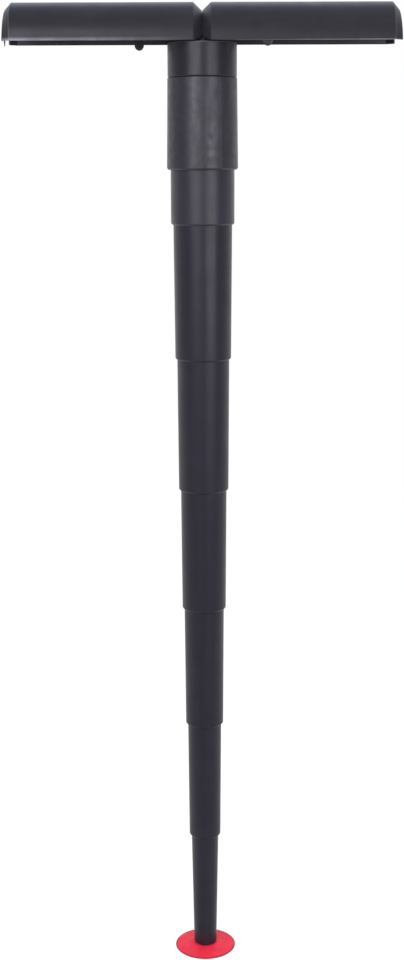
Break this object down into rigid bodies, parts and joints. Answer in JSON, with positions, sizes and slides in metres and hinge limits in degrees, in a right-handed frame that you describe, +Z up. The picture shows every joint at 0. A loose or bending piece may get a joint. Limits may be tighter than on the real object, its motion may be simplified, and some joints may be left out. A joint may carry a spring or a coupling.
{
  "type": "folding one-leg stool",
  "caption": "Pocket folding stool: a T-shaped seat of two half-round wings on a telescopic leg of nested taper tubes with a round rubber foot.",
  "frame": {"origin": "centre of the foot's flat underside, on the floor", "axes": "+Z up along the leg, +X along the seat towards the right wing, -Y towards the front"},
  "size_m": [0.3424, 0.0672, 0.89],
  "materials": {
    "wing_plastic": "moulded, satin",
    "hub_plastic": "moulded, satin",
    "tube_plastic": "moulded, satin",
    "nylon": "moulded, matt",
    "steel": "zinc plated",
    "red_rubber": "moulded, matt"
  },
  "bodies": {
    "head": {"hub_cap": "hub_plastic", "hinge_yoke": "nylon", "yoke_screw_1": "steel", "yoke_screw_2": "steel", "yoke_screw_3": "steel", "yoke_screw_4": "steel", "tube_plug": "nylon", "grip_sleeve": "hub_plastic", "main_tube": "tube_plastic", "left_hinge_pin": "steel", "right_hinge_pin": "steel", "left_pin_clip": "steel", "right_pin_clip": "steel", "left_front_friction_washer": "nylon", "left_rear_friction_washer": "nylon", "right_front_friction_washer": "nylon", "right_rear_friction_washer": "nylon"},
    "left_wing": {"left_wing_shell": "wing_plastic", "left_hinge_block": "nylon", "left_wing_screw_1": "steel", "left_wing_screw_2": "steel"},
    "right_wing": {"right_wing_shell": "wing_plastic", "right_hinge_block": "nylon", "right_wing_screw_1": "steel", "right_wing_screw_2": "steel"},
    "leg_1": {"leg_tube_1": "tube_plastic"},
    "leg_2": {"leg_tube_2": "tube_plastic"},
    "leg_3": {"leg_tube_3": "tube_plastic"},
    "leg_4": {"leg_tube_4": "tube_plastic"},
    "leg_5": {"leg_tube_5": "tube_plastic"},
    "leg_6": {"leg_tube_6": "tube_plastic", "foot_pad": "red_rubber", "foot_plug": "nylon", "foot_washer": "steel", "foot_screw": "steel"}
  },
  "joints": [
    {"name": "left_wing_fold", "type": "hinge", "parent": "head", "child": "left_wing", "pos_m": [-0.0056, 0, 0.86185], "axis": [0, -1, 0], "range_deg": [0, 90]},
    {"name": "right_wing_fold", "type": "hinge", "parent": "head", "child": "right_wing", "pos_m": [0.0056, 0, 0.86185], "axis": [0, 1, 0], "range_deg": [0, 90]},
    {"name": "leg_1_slide", "type": "slide", "parent": "head", "child": "leg_1", "axis": [0, 0, 1], "range_m": [0, 0.1203]},
    {"name": "leg_2_slide", "type": "slide", "parent": "leg_1", "child": "leg_2", "axis": [0, 0, 1], "range_m": [0, 0.1213]},
    {"name": "leg_3_slide", "type": "slide", "parent": "leg_2", "child": "leg_3", "axis": [0, 0, 1], "range_m": [0, 0.1138]},
    {"name": "leg_4_slide", "type": "slide", "parent": "leg_3", "child": "leg_4", "axis": [0, 0, 1], "range_m": [0, 0.1145]},
    {"name": "leg_5_slide", "type": "slide", "parent": "leg_4", "child": "leg_5", "axis": [0, 0, 1], "range_m": [0, 0.1142]},
    {"name": "leg_6_slide", "type": "slide", "parent": "leg_5", "child": "leg_6", "axis": [0, 0, 1], "range_m": [0, 0.1101]}
  ]
}
